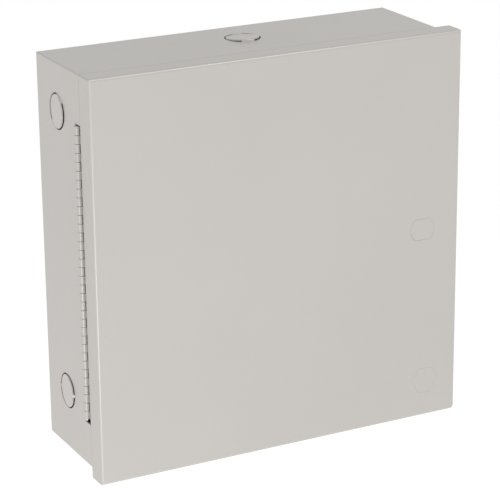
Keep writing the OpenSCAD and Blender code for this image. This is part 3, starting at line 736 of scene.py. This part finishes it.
def hinge_leaf(name, node, first, way):
    """A leaf with every second knuckle curled out of it."""
    low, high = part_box(node)
    centre = JOINT_AT["door_hinge"]
    top = high.z
    pitch = (high.z - low.z) / KNUCKLES
    straight = abs((high.y if way > 0 else low.y) - centre[1])
    clear = BARREL_R + KNUCKLE_GAP
    lines = [0.0, straight - clear, straight - clear / 2, straight]
    lines += [straight + CURL * BARREL_R * k / CURL_STEPS for k in range(1, CURL_STEPS + 1)]
    spans = []
    for i in range(KNUCKLES):
        z1 = top - i * pitch - KNUCKLE_GAP / 2
        spans.append((z1 - pitch + KNUCKLE_GAP, z1, i % 2 == first))
    levels = sorted({round(z, 7) for span in spans for z in span[:2]}
                    | {round(top, 7), round(low.z, 7)})
    bm = bmesh.new()
    made = {}

    def vert(i, j, skin):
        key = (i, j, skin)
        if key not in made:
            x, y = curl_point(centre, way, straight, lines[i], skin * LEAF_T)
            made[key] = bm.verts.new((x, y, levels[j]))
        return made[key]

    def full(i, j):
        """Whether the leaf has metal in cell (i, j) of its grid."""
        if not (0 <= i < len(lines) - 1 and 0 <= j < len(levels) - 1):
            return False
        if lines[i + 1] <= straight - clear + 1e-9:
            return True
        middle = (levels[j] + levels[j + 1]) / 2
        return any(z0 < middle < z1 and mine for z0, z1, mine in spans)

    for i in range(len(lines) - 1):
        for j in range(len(levels) - 1):
            if not full(i, j):
                continue
            for skin in (0, 1):
                bm.faces.new((vert(i, j, skin), vert(i + 1, j, skin),
                              vert(i + 1, j + 1, skin), vert(i, j + 1, skin)))
            for ni, nj, a, b in ((i - 1, j, (i, j), (i, j + 1)),
                                 (i + 1, j, (i + 1, j), (i + 1, j + 1)),
                                 (i, j - 1, (i, j), (i + 1, j)),
                                 (i, j + 1, (i, j + 1), (i + 1, j + 1))):
                if not full(ni, nj):
                    bm.faces.new((vert(*a, 0), vert(*b, 0), vert(*b, 1), vert(*a, 1)))
    add_piece(name, bm, node, 0.16 * MM, 2, 40.0)


# ---------- dead front ----------

WINDOW_PLAY = 0.5 * MM
NOSE_IN, NOSE_OUT = 14 * MM, 58 * MM
MAIN_NOSE_LOW = (-30 * MM, 32 * MM)
MAIN_NOSE_HIGH = (30 * MM, 82 * MM)
OUTER_BEAD_INSET = 11 * MM
INNER_BEAD_HALF = 68 * MM
INNER_BEAD_DROP = 12 * MM
INNER_BEAD_TOP = 92 * MM


def window(low, high, radius=0.8 * MM, steps=4):
    """A rounded rectangle as a function that gives its loop at an offset."""
    def loop(offset):
        return rounded_loop((low[0] - offset, low[1] - offset),
                            (high[0] + offset, high[1] + offset), [radius + offset] * 4,
                            steps=steps)
    return loop


def screw_hole(middle, radius, steps=32):
    def loop(offset):
        r = radius + offset
        return [(middle.x + r * math.cos(a), middle.z + r * math.sin(a))
                for a in (math.tau * k / steps for k in range(steps))]
    return loop


def dead_front():
    """The inner cover: punched for the breakers, stiffened by two pressed beads."""
    low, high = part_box("dead_front")
    cases = [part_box(node) for node in SLOT_OF if is_branch(node, "case")]
    column_low = min(box[0].z for box in cases)
    column_high = max(box[1].z for box in cases)
    noses = [((-NOSE_OUT, column_low), (-NOSE_IN, column_high)),
             ((NOSE_IN, column_low), (NOSE_OUT, column_high)), (MAIN_NOSE_LOW, MAIN_NOSE_HIGH)]
    holes = [window((x0 - WINDOW_PLAY, z0 - WINDOW_PLAY), (x1 + WINDOW_PLAY, z1 + WINDOW_PLAY))
             for (x0, z0), (x1, z1) in noses]
    for screw_low, screw_high, radius in solids_of("dead_front_screws"):
        holes.append(screw_hole((screw_low + screw_high) / 2, radius + 0.15 * MM))
    inset = OUTER_BEAD_INSET
    outer = window((low.x + inset, low.z + inset), (high.x - inset, high.z - inset), 8 * MM, 8)
    inner = window((-INNER_BEAD_HALF, column_low - INNER_BEAD_DROP),
                   (INNER_BEAD_HALF, INNER_BEAD_TOP), 6 * MM, 8)
    beads = ((outer, 5 * MM, 0.7 * MM), (inner, 4 * MM, 0.6 * MM))
    bm = bmesh.new()
    rim = [at_depth(rounded_loop((low.x, low.z), (high.x, high.z), [2 * MM] * 4), y)
           for y in (low.y, high.y)]
    skins = add_rings(bm, rim, close_ends=False)
    fronts, backs = pressed_sheet(bm, skins[0], skins[-1], low.y, high.y, holes, beads)
    first_bead = 1 + len(holes)
    for loops in (fronts, backs):
        windows = loops[1:1 + len(noses)]
        screw_holes = loops[1 + len(noses):first_bead]
        outer_foot, outer_top, inner_foot, inner_top = loops[first_bead:]
        fill_flat(bm, [loops[0], outer_foot] + screw_holes)
        fill_flat(bm, [outer_top, inner_foot])
        fill_flat(bm, [inner_top] + windows)
    add_piece("dead_front_cover", bm, "dead_front", 0.15 * MM)


# ---------- screws ----------

SCREWS = ("dead_front_screws", "interior_screws", "rail_screws", "catch_screws",
          "neutral_screws", "ground_screws", "ground_fixings", "bonding_screws",
          "branch_clamp_screws")
DOME_STEPS = 7
# shares of the head's radius, the shank's radius and the head's height
HEAD_HEIGHT = 0.56
THREAD_PITCH, THREAD_ROOT = 0.42, 0.82
RECESS_DEPTH = 0.62
# half length and half width of a recess's arm at its mouth and at its floor
RECESS_MOUTH, RECESS_FLOOR = (0.6, 0.125), (0.3, 0.09)


def screw_mesh(bm, low, high, shank_r):
    """A pan-head screw with a cross recess and rolled thread, its head towards -Y."""
    middle = ((low.x + high.x) / 2, low.y, (low.z + high.z) / 2)
    head_r = (high.x - low.x) / 2
    head_h = head_r * HEAD_HEIGHT
    length = high.y - low.y
    profile = [(0.0, 0.0)]
    for k in range(1, DOME_STEPS + 1):
        a = math.pi / 2 * k / DOME_STEPS
        profile.append((head_r * math.sin(a) ** 0.8, head_h * 0.78 * (1 - math.cos(a)) ** 1.4))
    profile += [(head_r, head_h * 0.92), (head_r * 0.97, head_h), (shank_r, head_h)]
    pitch = shank_r * THREAD_PITCH
    turns = int((length - head_h - shank_r * 0.5) / pitch)
    for k in range(turns):
        y = head_h + pitch * (k + 0.25)
        profile += [(shank_r, y), (shank_r * THREAD_ROOT, y + pitch * 0.5)]
    profile += [(shank_r * 0.9, length - shank_r * 0.25), (shank_r * 0.6, length), (0.0, length)]
    screw = bmesh.new()
    add_lathe(screw, middle, (0, 1, 0), profile, 40)
    face_outward(screw)
    recess = bmesh.new()
    rings = []
    for y, shares in ((-head_h, RECESS_MOUTH), (head_h * RECESS_DEPTH, RECESS_FLOOR)):
        arm, half = (head_r * share for share in shares)
        corners = ((arm, half), (half, half), (half, arm))
        points = []
        for x, z in ((1, 1), (-1, 1), (-1, -1), (1, -1)):
            turned = corners if x * z > 0 else corners[::-1]
            points += [(middle[0] + x * p, low.y + y, middle[2] + z * q) for p, q in turned]
        rings.append(points)
    add_rings(recess, rings)
    face_outward(recess)
    screw = combined(screw, recess, "DIFFERENCE")
    mesh = bpy.data.meshes.new("screw")
    screw.to_mesh(mesh)
    screw.free()
    bm.from_mesh(mesh)
    bpy.data.meshes.remove(mesh)


def screws():
    for node in SCREWS:
        bm = bmesh.new()
        for low, high, radius in solids_of(node):
            screw_mesh(bm, low, high, radius)
        add_piece(node + "_threaded", bm, node, 0.08 * MM, 1, 40.0)


# ---------- breakers ----------

SPACE = 25.4 * MM
OVERCUT = 1.0 * MM
GRIPS = 4
GRIP_DEPTH = 0.45 * MM

# a branch breaker, measured out from the panel's middle and back from the nose's face
SHOULDER = 17.0 * MM
LABEL_SPAN = (48.0 * MM, 56.8 * MM)
LABEL_HALF, LABEL_DEPTH = 9.6 * MM, 0.35 * MM
GRIP_AT, GRIP_PITCH, GRIP_W, GRIP_HALF = 15.7 * MM, 2.3 * MM, 1.0 * MM, 8.4 * MM
PARTING_SPANS = ((0.0, 13.0 * MM), (59.0 * MM, 62.0 * MM))
PARTING_HALF, PARTING_DEPTH = 0.15 * MM, 0.8 * MM
WELLS = ((8.0 * MM, 24.0 * MM), (30.0 * MM, 54.0 * MM), (66.0 * MM, 58.0 * MM))
WELL_R, WELL_DEPTH, WELL_H = 2.1 * MM, 0.6 * MM, 1.0 * MM

# the main breaker, measured in from the edges of its nose
MAIN_LABEL_W, MAIN_LABEL_DEPTH = 10 * MM, 0.4 * MM
MAIN_LABEL_SIDE, MAIN_LABEL_END = 4 * MM, 5 * MM
MAIN_GRIP_HALF, MAIN_GRIP_END = 11 * MM, 2 * MM
MAIN_GRIP_PITCH, MAIN_GRIP_W = 1.9 * MM, 0.9 * MM

# a lever's half width and its thickness at the root
BRANCH_LEVER = (3.7 * MM, 6.0 * MM)
MAIN_LEVER = (9.8 * MM, 8.0 * MM)
LEVER_REACH = 25.0 * MM
LEVER_ROOT = 8 * MM
TIP_SHARE = 0.36
FINGER_GROOVES = (18.2 * MM, 20.0 * MM, 21.8 * MM)
FINGER_HALF, FINGER_DEPTH = 0.35 * MM, 0.3 * MM


def is_branch(node, kind):
    return node.startswith("breaker") and node.endswith(kind)


def breaker_case(node):
    """A moulded case: a sunk label field, grip grooves, rivet wells and a parting line."""
    low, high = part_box(node)
    side = 1 if low.x + high.x > 0 else -1
    poles = round((high.z - low.z) / SPACE)
    pitch = (high.z - low.z) / poles
    cuts = bmesh.new()

    def cut(span, start, end, z, half):
        near, far = sorted(side * u for u in span)
        add_box(cuts, (near, low.y + start, z - half), (far, low.y + end, z + half))

    for i in range(poles):
        z = low.z + pitch * (i + 0.5)
        cut(LABEL_SPAN, -OVERCUT, LABEL_DEPTH, z, LABEL_HALF)
        for k in range(GRIPS):
            u = GRIP_AT + GRIP_PITCH * k
            cut((u, u + GRIP_W), -OVERCUT, GRIP_DEPTH, z, GRIP_HALF)
        for span in PARTING_SPANS:
            cut(span, SHOULDER, SHOULDER + PARTING_DEPTH, z, PARTING_HALF)
    well = ((0.0, 0.0), (WELL_R, 0.0), (WELL_R, WELL_H), (0.0, WELL_H))
    for u, v in WELLS:
        for z in (low.z + WELL_DEPTH - WELL_H, high.z - WELL_DEPTH):
            add_lathe(cuts, (side * u, low.y + v, z), (0, 0, 1), well, 32)
    face_outward(cuts)
    case = combined(welded_copy(node), cuts, "DIFFERENCE")
    add_piece(node + "_moulded", case, node, 0.3 * MM)


def lever_handle(node, pivot, axis, levers, half_w, thick):
    """A handle with three finger grooves on each lever's flanks.

    levers holds each lever's place along the axis, measured from the pivot."""
    body = welded_copy(node)

    def off_axis(point):
        arm = point - pivot
        return arm - axis * arm.dot(axis)

    reach = max(off_axis(vert.co).length for vert in body.verts)
    tips = [off_axis(vert.co) for vert in body.verts
            if off_axis(vert.co).length > reach - 0.3 * MM]
    along = sum(tips, Vector()).normalized()
    flank = axis.cross(along)
    cuts = bmesh.new()
    end = thick * TIP_SHARE
    for offset in levers:
        middle = pivot + axis * offset
        for r in FINGER_GROOVES:
            share = (r - LEVER_ROOT) / (LEVER_REACH - end - LEVER_ROOT)
            half_t = thick / 2 + (end - thick / 2) * share
            for way in (-1, 1):
                verts = add_box(cuts, (-half_w, -FINGER_HALF, half_t - FINGER_DEPTH),
                                (half_w, FINGER_HALF, half_t + OVERCUT))
                for vert in verts:
                    x, y, z = vert.co
                    vert.co = middle + axis * x + along * (r + y) + flank * way * z
    face_outward(cuts)
    add_piece(node + "_moulded", combined(body, cuts, "DIFFERENCE"), node, 0.35 * MM)


def main_breaker_case():
    """The main's case, with two sunk label fields and grip grooves in its nose."""
    node = "main_case"
    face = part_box(node)[0].y
    start = face - OVERCUT
    (x0, z0), (x1, z1) = MAIN_NOSE_LOW, MAIN_NOSE_HIGH
    cuts = bmesh.new()
    for x in (x0 + MAIN_LABEL_SIDE, x1 - MAIN_LABEL_SIDE - MAIN_LABEL_W):
        add_box(cuts, (x, start, z0 + MAIN_LABEL_END),
                (x + MAIN_LABEL_W, face + MAIN_LABEL_DEPTH, z1 - MAIN_LABEL_END))
    run = MAIN_GRIP_PITCH * (GRIPS - 1) + MAIN_GRIP_W
    for k in range(GRIPS):
        for first in (z0 + MAIN_GRIP_END, z1 - MAIN_GRIP_END - run):
            z = first + MAIN_GRIP_PITCH * k
            add_box(cuts, (-MAIN_GRIP_HALF, start, z),
                    (MAIN_GRIP_HALF, face + GRIP_DEPTH, z + MAIN_GRIP_W))
    face_outward(cuts)
    case = combined(welded_copy(node), cuts, "DIFFERENCE")
    add_piece("main_case_moulded", case, node, 0.35 * MM)


def breakers():
    """Makes every case and handle, and returns the nodes that they stand for."""
    made = {"main_case", "main_handle"}
    for node in SLOT_OF:
        if is_branch(node, "case"):
            breaker_case(node)
            made.add(node)
        if is_branch(node, "handle"):
            low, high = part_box(node)
            levers = (0.0, -SPACE) if high.z - low.z > SPACE else (0.0,)
            joint = node.replace("breaker_", "switch_").replace("_handle", "")
            lever_handle(node, JOINT_AT[joint], Vector((0, 0, 1)), levers, *BRANCH_LEVER)
            made.add(node)
    main_breaker_case()
    lever_handle("main_handle", JOINT_AT["main_switch"], Vector((1, 0, 0)), (0.0,), *MAIN_LEVER)
    return made


# ---------- pieces that keep their CAD shape ----------

# width of the broken edge, mm
PLAIN_EDGE = 0.25
EDGES = {
    "enclosure": 0.12, "hinge_pin": 0.4, "lock_knockout_slug": 0.2, "circuit_directory": 0.05,
    "catch_housing": 0.4, "catch_magnet": 0.2, "space_filler": 0.4, "interior_base": 0.5,
    "bus_bar_a": 0.4, "bus_bar_b": 0.4, "neutral_bar": 0.4, "ground_bar": 0.4,
    "neutral_lug": 0.5, "main_line_lugs": 0.6,
}


def round_over(nodes):
    """Carries the other CAD nodes over with their edges broken."""
    for node in nodes:
        add_piece(node + "_finished", welded_copy(node), node, EDGES.get(node, PLAIN_EDGE) * MM)


# ---------- the scene ----------

bpy.context.scene.view_settings.view_transform = "Standard"
make_camera()
make_world(WORLD_STRENGTH)
make_floor(FLOOR_GLOW)
for lamp in LAMPS:
    area_light(*lamp)
MATS = material_by_slot()
door_panel()
knockout_slugs()
hinge_leaf("hinge_leaf_on_body", "hinge_body_leaf", 0, 1)
hinge_leaf("hinge_leaf_on_door", "hinge_door_leaf", 1, -1)
dead_front()
screws()
MADE = {"door", "knockout_slugs", "hinge_body_leaf", "hinge_door_leaf", "dead_front", *SCREWS}
MADE |= breakers()
round_over([node for node in SLOT_OF if node not in MADE])
